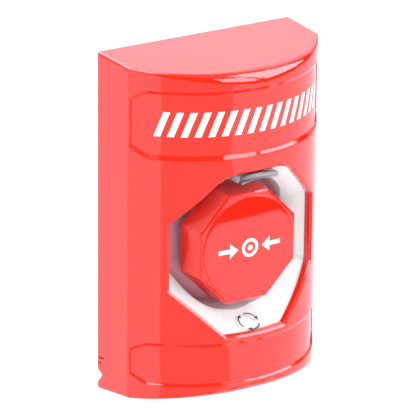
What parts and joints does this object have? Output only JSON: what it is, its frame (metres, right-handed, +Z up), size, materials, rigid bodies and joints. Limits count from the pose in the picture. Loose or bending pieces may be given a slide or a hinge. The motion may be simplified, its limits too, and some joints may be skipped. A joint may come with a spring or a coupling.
{
  "type": "wall-mounted emergency push button station",
  "caption": "Red bow-fronted wall station with a recessed octagonal push button in a white funnel, a light bar above it and contact blocks behind.",
  "frame": {"origin": "middle of the wall plane, at the housing's mid-height", "axes": "+X to the right seen from the front, +Y into the wall, +Z up"},
  "size_m": [0.0786, 0.063, 0.1216],
  "materials": {
    "red_housing": "smooth glossy moulding",
    "red_button": "smooth glossy moulding",
    "white_insert": "smooth satin moulding",
    "clear_lens": "clear moulded light guide",
    "board_green": "circuit board",
    "lamp_white": "lamp body",
    "pale_polymer": "unpainted bearing polymer",
    "dark_plastic": "fine matt moulding",
    "block_grey": "fine matt moulding",
    "steel": "zinc plated",
    "spring_steel": "drawn wire",
    "brass": "stamped strip"
  },
  "bodies": {
    "housing": {"front_shell": "red_housing", "bezel_insert": "white_insert", "insert_screws": "steel", "indicator_lens": "clear_lens", "lamp_board": "board_green", "indicator_leds": "lamp_white", "lamp_plug": "white_insert", "board_screws": "steel", "guide_sleeve": "pale_polymer", "sleeve_washer": "steel", "sleeve_nut": "steel", "return_spring": "spring_steel", "contact_carrier": "dark_plastic", "carrier_screws": "steel", "contact_block_left": "block_grey", "contact_block_right": "block_grey", "fixed_contacts_left": "brass", "fixed_contacts_right": "brass", "terminal_screws": "steel", "terminal_clamps": "steel", "contact_spring_left": "spring_steel", "contact_spring_right": "spring_steel", "back_plate": "dark_plastic", "shell_screws": "steel"},
    "carriage": {"cross_head": "dark_plastic"},
    "button": {"button_cap": "red_button", "button_face": "red_button", "push_stem": "pale_polymer", "latch_pin": "steel", "stem_clip": "spring_steel"},
    "contact_left": {"plunger_left": "red_button", "bridge_left": "brass"},
    "contact_right": {"plunger_right": "pale_polymer", "bridge_right": "brass"}
  },
  "joints": [
    {"name": "button_push", "type": "slide", "parent": "housing", "child": "carriage", "axis": [0, 1, 0], "range_m": [0, 0.005], "stiffness_N_per_m": 600, "springref_m": -0.01, "deforming": ["return_spring"]},
    {"name": "button_turn", "type": "hinge", "parent": "carriage", "child": "button", "pos_m": [0, 0, -0.00611], "axis": [0, 1, 0], "range_deg": [0, 45], "stiffness_Nm_per_rad": 0.05, "springref_deg": -5.73},
    {"name": "contact_left_slide", "type": "slide", "parent": "housing", "child": "contact_left", "axis": [0, 1, 0], "range_m": [0, 0.005], "deforming": ["contact_spring_left"]},
    {"name": "contact_right_slide", "type": "slide", "parent": "housing", "child": "contact_right", "axis": [0, 1, 0], "range_m": [0, 0.005], "deforming": ["contact_spring_right"]}
  ],
  "couplings": [
    {"joint": "contact_left_slide", "follows": "button_push", "ratio": 1},
    {"joint": "contact_right_slide", "follows": "button_push", "ratio": 1}
  ]
}
